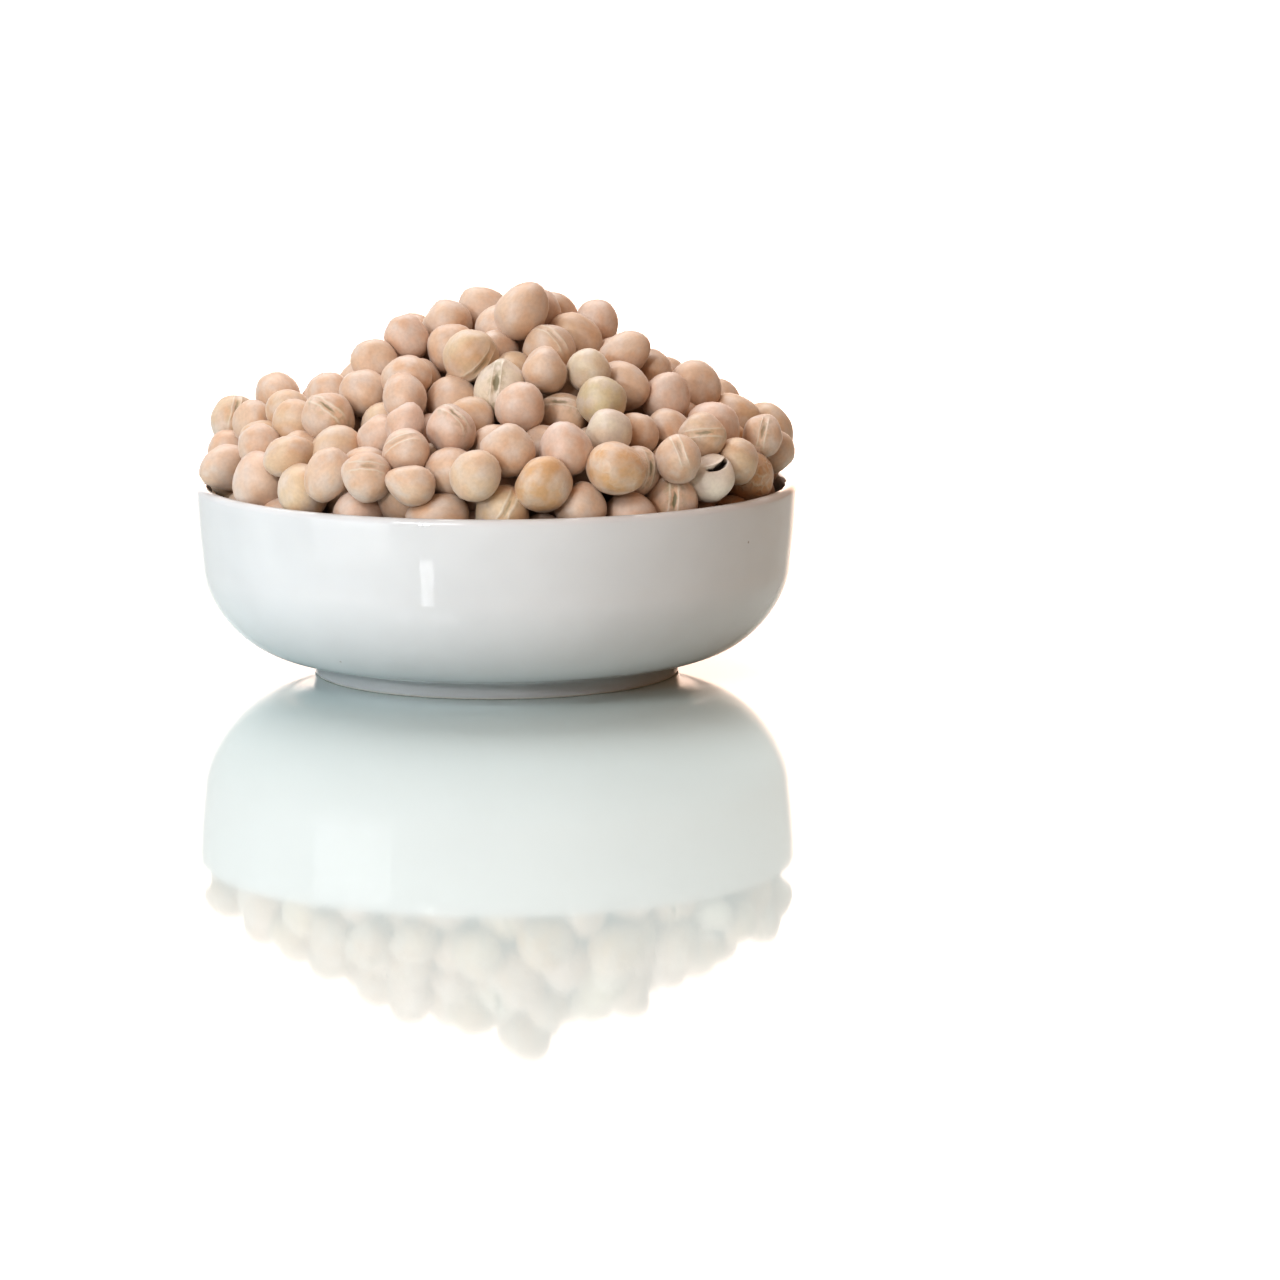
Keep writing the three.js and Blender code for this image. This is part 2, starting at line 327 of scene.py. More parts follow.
class PeaColours(bpy.types.PropertyGroup):
    pink: colour_setting("Pink", "The pinkest seed coats", "DCC5B6")
    beige: colour_setting("Beige", "Most seed coats", "D8C0AA")
    straw: colour_setting("Straw", "The yellowest seed coats", "D6C1A4")
    cheek: colour_setting("Cheek", "The warmer side of a seed coat", "CEA684")
    grey: colour_setting("Grey", "The greyish bloom on seed coats", "D6CCC4")
    green: colour_setting("Green", "Seed coats of unripe peas", "CCBF9C")
    pale: colour_setting("Pale", "Ridges, flakes and the palest coats", "E0D7C8")
    amber: colour_setting("Amber", "Seed coats that have darkened", "D2AE86")
    # The shade colour is painted shade: the peas deep in the heap and the bed under them are coloured dark
    # and red so that the gaps between the peas that show look deep.
    painted_shade: colour_setting("Shade", "Peas deep in the heap, browned by age", "99683F")
    eye: colour_setting("Eye", "The scar where a pea hung in its pod", "857F66")
    # The crack colour is painted shade, laid dark into the depth of the slit.
    painted_crack_shade: colour_setting("Crack", "The dark inside of a split coat", "2B2018")


class PeaStageSettings(bpy.types.PropertyGroup):
    floor_radius: number_setting("Floor radius", "How far the floor reaches", 8.0, "LENGTH")
    floor: colour_setting("Floor", "Colour of the glossy floor", "DAE8E8")
    left: number_setting("Light from the left", "Strength of the room's light from the left", 0.65)
    right: number_setting("Light from the right", "Strength of the room's light from the right", 0.36)
    back: number_setting(
        "Light from the backdrop", "Strength of the light from the backdrop behind the bowl", 2.4,
    )
    key: number_setting("Key light", "Power of the soft light in front, on the left", 3.0, "POWER")
    low: number_setting(
        "Low light", "Power of the soft light low on the left, which reaches under the bowl", 0.7, "POWER",
    )
    rim: number_setting(
        "Rim light", "Power of the soft light high up behind the bowl, which edges each pea", 4.5, "POWER",
    )
    window: number_setting(
        "Window light", "Power of the small light that the floor and the glaze mirror", 1.8, "POWER",
    )
    exposure: number_setting("Exposure", "How much brighter the picture is taken, in stops", -0.3)


# ---- Nodes and meshes ----

# A Mix node has sockets of each type under the same names. These are its colour ones.
MIX_A = 6
MIX_B = 7
MIXED = 2

# A Map Range node reads the range in its inputs 1 and 2, and gives the one in 3 and 4.


def add_node(tree, kind, inputs=None, **settings):
    """Adds a node with its settings. An input that is a socket is linked, and one that is a node
    is linked to that node's first output. Any other is set."""
    node = tree.nodes.new(kind)
    for name, value in settings.items():
        setattr(node, name, value)
    for name, value in (inputs or {}).items():
        if isinstance(value, bpy.types.Node):
            value = value.outputs[0]
        if isinstance(value, bpy.types.NodeSocket):
            tree.links.new(value, node.inputs[name])
        else:
            node.inputs[name].default_value = value
    return node


def new_material(name):
    """A material without nodes, and the function that adds one to it."""
    material = bpy.data.materials.new(name)
    material.use_nodes = True
    material.node_tree.nodes.clear()
    return material, partial(add_node, material.node_tree)


def new_object(name, data):
    """An object of the scene with this mesh, light or camera."""
    holder = bpy.data.objects.new(name, data)
    bpy.context.scene.collection.objects.link(holder)
    return holder


def smoothstep(low, high, value):
    """Rises softly from 0 at low to 1 at high."""
    share = np.clip((value - low) / (high - low), 0, 1)
    return share * share * (3 - 2 * share)


def swell(distance, width):
    """A soft bump of height 1, which has nearly died away at twice its width."""
    return np.exp(-(distance / width) ** 2)


# ---- The bowl ----


def rounded_corner(low, high, curve, steps):
    """A rounded corner from a low point, where it is level, to a high one, where it is upright."""
    points = []
    for step in range(steps + 1):
        angle = step / steps * math.pi / 2
        across = math.sin(angle) ** (2 / curve)
        down = math.cos(angle) ** (2 / curve)
        points.append((low[0] + (high[0] - low[0]) * across, high[1] - (high[1] - low[1]) * down))
    return points


def arc(middle, radius, start, end, steps):
    """Points on a circle from one angle to another, in degrees."""
    points = []
    for step in range(steps + 1):
        angle = math.radians(start + (end - start) * step / steps)
        points.append((middle[0] + radius * math.cos(angle), middle[1] + radius * math.sin(angle)))
    return points


def upper_wall(start, end):
    """Points between two points of the wall, which swells a little between them."""
    points = []
    for step in range(1, WALL_STEPS):
        share = step / WALL_STEPS
        out = start[0] + (end[0] - start[0]) * share + WALL_SWELL * math.sin(share * math.pi)
        points.append((out, start[1] + (end[1] - start[1]) * share))
    return points


def bowl_profile(sizes):
    """From the middle of the recess out over the foot, up the wall, over the lip and down the lining."""
    rim = sizes.rim_radius / MM
    height = sizes.height / MM
    lip = sizes.lip_radius / MM
    inner_foot = (FOOT_INNER_RADIUS + FOOT_ROUNDING, FOOT_ROUNDING)
    outer_foot = (FOOT_OUTER_RADIUS - FOOT_ROUNDING, FOOT_ROUNDING)
    return [
        (0, RECESS[1]),
        (RECESS[0] - RECESS_ROUNDING, RECESS[1]),
        (RECESS[0], RECESS[1] - RECESS_ROUNDING),
        *arc(inner_foot, FOOT_ROUNDING, 180, 270, FOOT_STEPS),
        *arc(outer_foot, FOOT_ROUNDING, 270, 360, FOOT_STEPS),
        FOOT_JOIN,
        *rounded_corner(UNDERSIDE, WALL, WALL_CURVE, CORNER_STEPS),
        *upper_wall(WALL, (rim, height - lip)),
        *arc((rim - lip, height - lip), lip, 0, 180, LIP_STEPS),
        *reversed(rounded_corner(FLOOR, LINING, LINING_CURVE, CORNER_STEPS)),
        (0, FLOOR[1]),
    ]


def turned(name, profile, sides):
    """A closed mesh of a profile in millimetres that starts and ends on the axis, turned round Z."""
    rings = profile[1:-1]
    verts = [(0, 0, profile[0][1] * MM)]
    for out, height in rings:
        for side in range(sides):
            angle = 2 * math.pi * side / sides
            verts.append((out * MM * math.cos(angle), out * MM * math.sin(angle), height * MM))
    verts.append((0, 0, profile[-1][1] * MM))
    last = len(verts) - 1
    top = last - sides
    faces = []
    for side in range(sides):
        after = (side + 1) % sides
        faces.append((0, 1 + after, 1 + side))
        faces.append((top + side, top + after, last))
        for low in range(1, top, sides):
            faces.append((low + side, low + after, low + sides + after, low + sides + side))
    mesh = bpy.data.meshes.new(name)
    mesh.from_pydata(verts, [], faces)
    mesh.shade_smooth()
    return mesh


def glazed_porcelain(sizes):
    """Slip-cast porcelain under a clear, fired glaze.

    To the eye it is a clean, faintly cool white with sharp reflections that waver a little.
    Its foot was wiped bare before firing, and is dull and slightly warm.
    """
    material, add = new_material("glazed_porcelain")
    place = add("ShaderNodeTexCoord").outputs["Object"]
    height = add("ShaderNodeSeparateXYZ", {0: place}).outputs["Z"]
    glazed = add("ShaderNodeMapRange", {0: height, 1: BARE_HEIGHT, 2: GLAZED_HEIGHT})
    # The glaze pools in clouds as wide as a thumb, and fine specks of iron show through it.
    clouds = add("ShaderNodeTexNoise", {"Vector": place, "Scale": 1 / CLOUD_WIDTH, "Detail": 2})
    cloud_share = add("ShaderNodeMapRange", {0: clouds, 1: 0.3, 2: 0.7, 3: 0.94, 4: 1.0})
    clouded = add(
        "ShaderNodeVectorMath", {0: tuple(sizes.glaze[:3]), "Scale": cloud_share}, operation="SCALE",
    )
    specks = add("ShaderNodeTexVoronoi", {"Vector": place, "Scale": 1 / SPECK_SPACING}).outputs["Distance"]
    speck_share = add("ShaderNodeMapRange", {0: specks, 1: 0.012, 2: 0.03, 3: 0.7, 4: 0.0})
    specked = add(
        "ShaderNodeMix", {0: speck_share, MIX_A: clouded, MIX_B: linear(SPECK_COLOUR)}, data_type="RGBA",
    ).outputs[MIXED]
    colour = add(
        "ShaderNodeMix", {0: glazed, MIX_A: tuple(sizes.bare), MIX_B: specked}, data_type="RGBA",
    ).outputs[MIXED]
    roughness = add("ShaderNodeMapRange", {0: glazed, 3: 0.6, 4: 0.03})
    ripples = add("ShaderNodeTexNoise", {"Vector": place, "Scale": 1 / RIPPLE_WIDTH, "Detail": 1})
    bump = add("ShaderNodeBump", {"Height": ripples, "Strength": 0.2, "Distance": RIPPLE_HEIGHT})
    shader = add("ShaderNodeBsdfPrincipled", {
        "Base Color": colour,
        "Roughness": roughness,
        "Normal": bump,
        "IOR": 1.5,
        "Subsurface Weight": 0.15,
        "Subsurface Radius": (1.0, 0.9, 0.8),
        "Subsurface Scale": 1.5 * MM,
    })
    add("ShaderNodeOutputMaterial", {0: shader})
    return material


class MakePeaBowl(bpy.types.Operator):
    """Makes the porcelain bowl"""

    bl_idname = "peas.make_bowl"
    bl_label = "Make bowl"

    def execute(self, context):
        sizes = context.scene.pea_bowl
        bowl = new_object("porcelain_bowl", turned("porcelain_bowl", bowl_profile(sizes), sizes.sides))
        bowl.data.materials.append(glazed_porcelain(sizes))
        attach(bowl, BODY)
        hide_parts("bowl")
        return {"FINISHED"}


# ---- The peas where they come to rest ----


def millimetres(length):
    """A length property in millimetres, rounded, because it keeps single precision only and the
    heap has to fall as the solid's own does."""
    return round(length / MM, 4)


def random_numbers(seed):
    """Random numbers from 0 to 1, the same ones each time."""
    state = seed
    while True:
        state = (state * 1664525 + 1013904223) % 2 ** 32
        yield state / 2 ** 32


def directions():
    """Directions all round, each one turned from the last."""
    ways = [(1.0, 0.0)]
    while len(ways) < DIRECTIONS:
        x, y = ways[-1]
        ways.append((x * TURN_COS - y * TURN_SIN, x * TURN_SIN + y * TURN_COS))
    return ways


COMPASS = directions()


class PeaDrop:
    """Drops peas into the bowl, which roll downhill until they lie still. In millimetres."""

    def __init__(self, bowl, heap):
        self.rim = millimetres(bowl.rim_radius)
        self.bowl_height = millimetres(bowl.height)
        self.lip = millimetres(bowl.lip_radius)
        self.radius = millimetres(heap.pea_radius)
        self.spread = millimetres(heap.pea_spread)
        self.top = millimetres(heap.top)
        self.cone_top = millimetres(heap.cone_top)
        self.cone_slope = round(heap.cone_slope, 4)
        self.lip_height = self.bowl_height - self.lip
        self.flare = (self.rim - 2 * self.lip - LINING[0]) / (self.lip_height - LINING[1])

    def heap_height(self, x, y):
        """The height of the heap's outline above the table."""
        from_x = x - HEAP_MIDDLE[0]
        from_y = y - HEAP_MIDDLE[1]
        out = math.sqrt(from_x * from_x + from_y * from_y)
        height = min(self.top, self.cone_top - self.cone_slope * out)
        for bump in HEAP_BUMPS:
            from_x = x - bump.x
            from_y = y - bump.y
            share = 1 - (from_x * from_x + from_y * from_y) / (bump.radius * bump.radius)
            if share > 0:
                height += bump.rise * share * share
        return self.bowl_height + height

    def height_on_bowl(self, x, y, radius):
        """How low a pea's middle can be before the pea touches the bowl or the bed under it."""
        out = math.sqrt(x * x + y * y)
        if out > self.rim - RIM_MARGIN - radius * (1 + RIM_MARGIN_SHARE):
            return math.inf
        on_wall = LINING[1] + (out + radius + PEA_CLEARANCE - LINING[0]) / self.flare
        low = max(BED_HEIGHT + radius, on_wall)
        if low <= self.lip_height:
            return low
        side = self.rim - self.lip - out
        span = radius + PEA_CLEARANCE + self.lip
        rise = span * span - side * side
        return self.lip_height + math.sqrt(rise) if rise > 0 else self.lip_height

    def rest_height(self, x, y, radius, others):
        """How low it can be before it touches the bowl or another pea."""
        height = self.height_on_bowl(x, y, radius)
        if height == math.inf:
            return height
        for other_x, other_y, other_z, other_radius in others:
            from_x = x - other_x
            from_y = y - other_y
            span = radius + other_radius
            rise = span * span - from_x * from_x - from_y * from_y
            if rise > 0:
                height = max(height, other_z + math.sqrt(rise))
        return height

    def step_down(self, pea, step, others):
        """The lowest place one step away, or None if every one is higher."""
        best = None
        lowest = pea[2] - LEAST_FALL
        for way_x, way_y in COMPASS:
            x = pea[0] + way_x * step
            y = pea[1] + way_y * step
            z = self.rest_height(x, y, pea[3], others)
            if z < lowest:
                best = (x, y, z, pea[3])
                lowest = z - LEAST_FALL
        return best

    def rolled(self, x, y, radius, peas):
        """Rolls a pea downhill from where it is dropped, in ever smaller steps."""
        reach = ROLL_REACH + NEAR_RADII * self.radius
        near = [pea for pea in peas if abs(pea[0] - x) < reach and abs(pea[1] - y) < reach]
        pea = (x, y, self.rest_height(x, y, radius, near), radius)
        step = FIRST_STEP
        while step > LAST_STEP:
            place = self.step_down(pea, step, near)
            if place is None or (place[0] - x) ** 2 + (place[1] - y) ** 2 > ROLL_REACH * ROLL_REACH:
                step *= 0.5
            else:
                pea = place
        return pea

    def peas(self, drops, seed):
        """All the peas above the bed. One that would stand out of the heap's outline isn't kept."""
        draw = random_numbers(seed)
        peas = []
        for _ in range(drops):
            x = (2 * next(draw) - 1) * DROP_RADIUS
            y = (2 * next(draw) - 1) * DROP_RADIUS
            radius = self.radius + self.spread * (next(draw) + next(draw) - 1)
            if x * x + y * y <= DROP_RADIUS * DROP_RADIUS:
                pea = self.rolled(x, y, radius, peas)
                if pea[2] + pea[3] <= self.heap_height(pea[0], pea[1]):
                    peas.append(pea)
        return peas


# ---- Which peas show, and from where ----


def open_shares(peas, look, rim, rim_height):
    """For each pea, the share of spots round its middle that can be seen along a look."""
    middles = peas[:, :3]
    look = np.array(look, float) / np.linalg.norm(look)
    side = np.cross(look, (0, 0, 1)) if abs(look[2]) < 1 else np.array((1.0, 0, 0))
    side = side / np.linalg.norm(side)
    up = np.cross(side, look)
    level = math.hypot(look[0], look[1])
    open_spots = np.zeros(len(peas))
    for way_x, way_y in COMPASS:
        reach = SPOT_SHARE * peas[:, 3:4]
        spots = middles + reach * (way_x * side + way_y * up)
        to_others = middles[None] - spots[:, None]
        ahead = to_others @ look
        away = (to_others ** 2).sum(2) - ahead ** 2
        hidden = (ahead > 0) & (away < peas[None, :, 3] ** 2)
        np.fill_diagonal(hidden, False)
        to_rim = rim - np.hypot(spots[:, 0], spots[:, 1])
        over_rim = spots[:, 2] * level + to_rim * look[2] >= rim_height * level
        open_spots += over_rim & ~hidden.any(1)
    return open_spots / len(COMPASS)


def photo_pixel(x, y, z):
    """Where a point of the frame, in metres, is in the photo."""
    from_camera = Vector((x, y, z)) - CAMERA_PLACE
    depth = -from_camera.dot(CAMERA_BACK)
    scale = CAMERA_LENS / SENSOR_WIDTH * PHOTO_PIXELS / depth
    middle = PHOTO_PIXELS / 2
    return middle + from_camera.dot(CAMERA_RIGHT) * scale, middle - from_camera.dot(CAMERA_UP) * scale


def turn_to_spot(spot):
    """The turn that brings a pea's eye to where a spot has it, seen from the camera."""
    picture = Matrix((CAMERA_RIGHT, CAMERA_UP, CAMERA_BACK)).transposed()
    aside = Matrix.Rotation(math.radians(spot.eye_right), 3, "Y")
    tilt = aside @ Matrix.Rotation(math.radians(-spot.eye_up), 3, "X")
    return (picture @ tilt @ Matrix.Rotation(math.radians(spot.seam), 3, "Z")).to_euler()


# ---- Peas of one kind ----


def pea_form(name, form):
    """A ball of radius 1 with a kind's own marks. Its eye looks along Z and its seam runs along X.

    Each point keeps its place on the even ball in the attribute on_pea, for the seed coat.
    """
    shape = bmesh.new()
    bmesh.ops.create_cube(shape, size=2)
    bmesh.ops.subdivide_edges(shape, edges=shape.edges[:], cuts=form.faces - 1, use_grid_fill=True)
    mesh = bpy.data.meshes.new(name)
    shape.to_mesh(mesh)
    shape.free()
    places = np.zeros(len(mesh.vertices) * 3)
    mesh.vertices.foreach_get("co", places)
    places = places.reshape(-1, 3)
    places[:, 1] *= np.abs(places[:, 1]) ** form.crowd
    places = np.tan(places * math.pi / 4)
    places /= np.linalg.norm(places, axis=1)[:, None]
    x, y, z = places.T
    # The marks fade out towards the pea's back, and its ridges and slit towards their ends.
    front = smoothstep(0.0, 0.4, z)
    ends = 1 - smoothstep(0.6, 0.9, np.abs(x))
    out = np.ones(len(places))
    for side in PRESSED_SIDES:
        flat = (1 - form.press) / np.maximum(places @ np.array(side), LEAST_FACING)
        out = -np.logaddexp(-PRESS_SHARPNESS * out, -PRESS_SHARPNESS * flat) / PRESS_SHARPNESS
    out -= form.eye * swell(x, EYE_LENGTH) * swell(y, 2 * EYE_WIDTH) * front
    out += form.seam * swell(np.abs(y) - SEAM_WIDTH, RIDGE_WIDTH) * front * ends
    out += form.tip * swell(x - TIP_PLACE, TIP_WIDTH) * swell(y, TIP_WIDTH) * smoothstep(-0.2, 0.3, z)
    along = y - SLIT_BEND * x * x
    slit_ends = 1 - smoothstep(SLIT_LENGTH - 0.15, SLIT_LENGTH, np.abs(x))
    out -= form.slit * swell(along, SLIT_WIDTH) * slit_ends * front
    lip = form.slit * SLIT_LIP_SHARE * swell(along - SLIT_LIP_PLACE * SLIT_WIDTH, SLIT_WIDTH)
    out += lip * slit_ends * front
    narrow = (1 - form.stretch / 3) * (1 - form.taper * x)
    shaped = places * out[:, None] * np.stack([np.full(len(x), 1 + form.stretch), narrow, narrow], axis=1)
    mesh.vertices.foreach_set("co", shaped.ravel())
    mesh.attributes.new("on_pea", "FLOAT_VECTOR", "POINT").data.foreach_set("vector", places.ravel())
    mesh.update()
    return new_object(name, mesh)


def peas_tree():
    """Geometry Nodes that put a pea on every point, sized and turned as the point says, with lumps."""
    tree = bpy.data.node_groups.new("peas_on_points", "GeometryNodeTree")
    for name, kind in (
        ("Points", "Geometry"), ("Pea", "Object"), ("Pea radius", "Float"), ("Lump height", "Float"),
        ("Lump size", "Float"), ("Seed coat", "Material"),
    ):
        tree.interface.new_socket(name, in_out="INPUT", socket_type="NodeSocket" + kind)
    tree.interface.new_socket("Peas", in_out="OUTPUT", socket_type="NodeSocketGeometry")
    # Each point is a pea: the form goes on it, turned and sized, and gets lumps and its coat.
    add = partial(add_node, tree)
    given = add("NodeGroupInput").outputs
    form = add("GeometryNodeObjectInfo", {"Object": given["Pea"]}).outputs["Geometry"]
    turn, widths, on_pea, draw = [
        add("GeometryNodeInputNamedAttribute", {"Name": name}, data_type="FLOAT_VECTOR")
        for name in ("turn", "widths", "on_pea", "draw")
    ]
    placed = add("GeometryNodeInstanceOnPoints", {
        "Points": given["Points"], "Instance": form, "Rotation": turn, "Scale": widths,
    })
    real = add("GeometryNodeRealizeInstances", {0: placed})
    # The lumps are the same size on every pea, and each pea has its own place in them.
    on_skin = add("ShaderNodeVectorMath", {0: on_pea, "Scale": given["Pea radius"]}, operation="SCALE")
    lumps_apart = add("ShaderNodeMath", {0: 1.0, 1: given["Lump size"]}, operation="DIVIDE")
    in_lumps = add("ShaderNodeVectorMath", {0: on_skin, "Scale": lumps_apart}, operation="SCALE")
    own_place = add("ShaderNodeVectorMath", {0: in_lumps, 1: draw}, operation="ADD")
    noise = add("ShaderNodeTexNoise", {"Vector": own_place, "Scale": 1.0, "Detail": 1.0})
    centred = add("ShaderNodeMath", {0: noise, 1: 0.5}, operation="SUBTRACT")
    rise = add("ShaderNodeMath", {0: centred, 1: given["Lump height"]}, operation="MULTIPLY")
    normal = add("GeometryNodeInputNormal")
    offset = add("ShaderNodeVectorMath", {0: normal, "Scale": rise}, operation="SCALE")
    lumpy = add("GeometryNodeSetPosition", {"Geometry": real, "Offset": offset})
    smooth = add("GeometryNodeSetShadeSmooth", {0: lumpy})
    coated = add("GeometryNodeSetMaterial", {"Geometry": smooth, "Material": given["Seed coat"]})
    add("NodeGroupOutput", {"Peas": coated})
    return tree


def points_mesh(name, peas):
    """A point at the middle of each pea, with what the tree and the seed coat read."""
    mesh = bpy.data.meshes.new(name)
    mesh.from_pydata([tuple(pea["middle"]) for pea in peas], [], [])
    for attribute in ("turn", "widths", "draw"):
        values = [number for pea in peas for number in pea[attribute]]
        mesh.attributes.new(attribute, "FLOAT_VECTOR", "POINT").data.foreach_set("vector", values)
    for attribute in ("tone", "mark"):
        values = [pea[attribute] for pea in peas]
        mesh.attributes.new(attribute, "FLOAT", "POINT").data.foreach_set("value", values)
    return mesh


def make_peas(name, peas, form, coat, sizes):
    """One piece with all the peas of a kind."""
    pea = pea_form(name + "_form", form)
    piece = new_object(name, points_mesh(name, peas))
    modifier = piece.modifiers.new("Peas", "NODES")
    modifier.node_group = bpy.data.node_groups.get("peas_on_points") or peas_tree()
    values = {
        "Pea": pea,
        "Pea radius": sizes.pea_radius,
        "Lump height": sizes.lump_height,
        "Lump size": sizes.lump_size,
        "Seed coat": coat,
    }
    for socket in modifier.node_group.interface.items_tree:
        if socket.name in values:
            modifier[socket.identifier] = values[socket.name]
    depsgraph = bpy.context.evaluated_depsgraph_get()
    mesh = bpy.data.meshes.new_from_object(piece.evaluated_get(depsgraph), depsgraph=depsgraph)
    piece.modifiers.clear()
    piece.data = mesh
    mesh.name = name
    bpy.data.objects.remove(pea)
    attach(piece, BODY)
    return piece


# ---- Seed coats, whose marks have their places and widths in shares of a pea's radius ----


def seed_coat(name, tones, colours, cheek=0.5, seam=False, net=False, slit=False):
    """The dry coat of a whole pea: a thin, tough skin that has shrunk onto the seed.

    To the eye it is nearly matt, with a dusty sheen, and unevenly coloured: each pea has a tone
    of its own, a warm cheek and a greyish bloom. The options add the marks that only some kinds
    have.
    """
    material, add = new_material(name)
    on_pea = add("ShaderNodeAttribute", attribute_name="on_pea").outputs["Vector"]
    draw = add("ShaderNodeAttribute", attribute_name="draw").outputs["Vector"]
    tone = add("ShaderNodeAttribute", attribute_name="tone").outputs["Fac"]
    mark = add("ShaderNodeAttribute", attribute_name="mark").outputs["Fac"]
    # A place on the pea in millimetres, and a random step away for each pea.
    skin = add("ShaderNodeVectorMath", {0: on_pea, "Scale": COAT_RADIUS}, operation="SCALE")
    place = add("ShaderNodeVectorMath", {0: skin, 1: draw}, operation="ADD")

    ramp = add("ShaderNodeValToRGB", {0: tone})
    while len(ramp.color_ramp.elements) < len(tones):
        ramp.color_ramp.elements.new(0.5)
    for index, colour in enumerate(tones):
        ramp.color_ramp.elements[index].position = index / (len(tones) - 1)
        ramp.color_ramp.elements[index].color = colour

    # A cheek is about half a pea wide, a patch of bloom a quarter, and a mottle half a millimetre.
    cheeks = add("ShaderNodeTexNoise", {"Vector": place, "Scale": 1 / CHEEK_WIDTH, "Detail": 1})
    cheek_share = add("ShaderNodeMapRange", {0: cheeks, 1: 0.42, 2: 0.66, 4: cheek})
    warmed = add(
        "ShaderNodeMix", {0: cheek_share, MIX_A: ramp, MIX_B: tuple(colours.cheek)}, data_type="RGBA",
    ).outputs[MIXED]
    patches = add("ShaderNodeTexNoise", {"Vector": place, "Scale": 1 / BLOOM_WIDTH, "Detail": 1.5})
    patch_share = add("ShaderNodeMapRange", {0: patches, 1: 0.4, 2: 0.7, 4: 0.6})
    patched = add(
        "ShaderNodeMix", {0: patch_share, MIX_A: warmed, MIX_B: tuple(colours.grey)}, data_type="RGBA",
    ).outputs[MIXED]
    mottles = add("ShaderNodeTexNoise", {"Vector": place, "Scale": 1 / MOTTLE_WIDTH, "Detail": 3})
    mottle_share = add("ShaderNodeMapRange", {0: mottles, 1: 0.35, 2: 0.7, 3: 1.02, 4: 0.93})
    colour = add("ShaderNodeVectorMath", {0: patched, "Scale": mottle_share}, operation="SCALE")
    heights = add("ShaderNodeTexNoise", {"Vector": place, "Scale": 1 / WRINKLE_WIDTH, "Detail": 4})
    bump = add("ShaderNodeBump", {"Height": heights, "Strength": 0.5, "Distance": WRINKLE_HEIGHT * MM})

    if seam or slit:
        wobble = add("ShaderNodeTexNoise", {"Vector": place, "Scale": 1 / WOBBLE_WIDTH})
        shift = add("ShaderNodeMapRange", {0: wobble, 3: -0.07, 4: 0.07})
        parts = add("ShaderNodeSeparateXYZ", {0: on_pea}).outputs
        across = add("ShaderNodeMath", {0: parts["Y"], 1: shift}, operation="ADD")
        along = add("ShaderNodeMath", {0: parts["X"]}, operation="ABSOLUTE")
        front = add("ShaderNodeMapRange", {0: parts["Z"], 1: 0.1, 2: 0.5})
    if seam:
        colour, bump = seam_marks(add, colours, colour, bump, place, across, along, front, mark)
    if net:
        colour, bump = flakes(add, colours, colour, bump, place, mark)
    if slit:
        colour = painted_crack_shade(add, colours, colour, parts["X"], across, along, front)

    shader = add("ShaderNodeBsdfPrincipled", {
        "Base Color": colour,
        "Roughness": 0.45,
        "IOR": 1.45,
        "Normal": bump,
        "Sheen Weight": 0.3,
        "Sheen Roughness": 0.5,
    })
    add("ShaderNodeOutputMaterial", {0: shader})
    return material


def painted_crack_shade(add, colours, colour, x, across, along, front):
    """Painted shade along the depth of the slit in a split coat, dark nearly to black."""
    bend = add("ShaderNodeMath", {0: x, 1: x}, operation="MULTIPLY")
    bent = add("ShaderNodeMath", {0: bend, 1: -SLIT_BEND, 2: across}, operation="MULTIPLY_ADD")
    off = add("ShaderNodeMath", {0: bent}, operation="ABSOLUTE")
    # Painted shade fills the middle of the slit and fades out towards its edges and ends.
    inside = add("ShaderNodeMapRange", {0: off, 1: 0.09, 2: 0.05})
    ends = add("ShaderNodeMapRange", {0: along, 1: SLIT_LENGTH, 2: SLIT_LENGTH - 0.1})
    for share in (ends, front):
        inside = add("ShaderNodeMath", {0: inside, 1: share}, operation="MULTIPLY")
    return add(
        "ShaderNodeMix", {0: inside, MIX_A: colour, MIX_B: tuple(colours.painted_crack_shade)}, data_type="RGBA",
    ).outputs[MIXED]


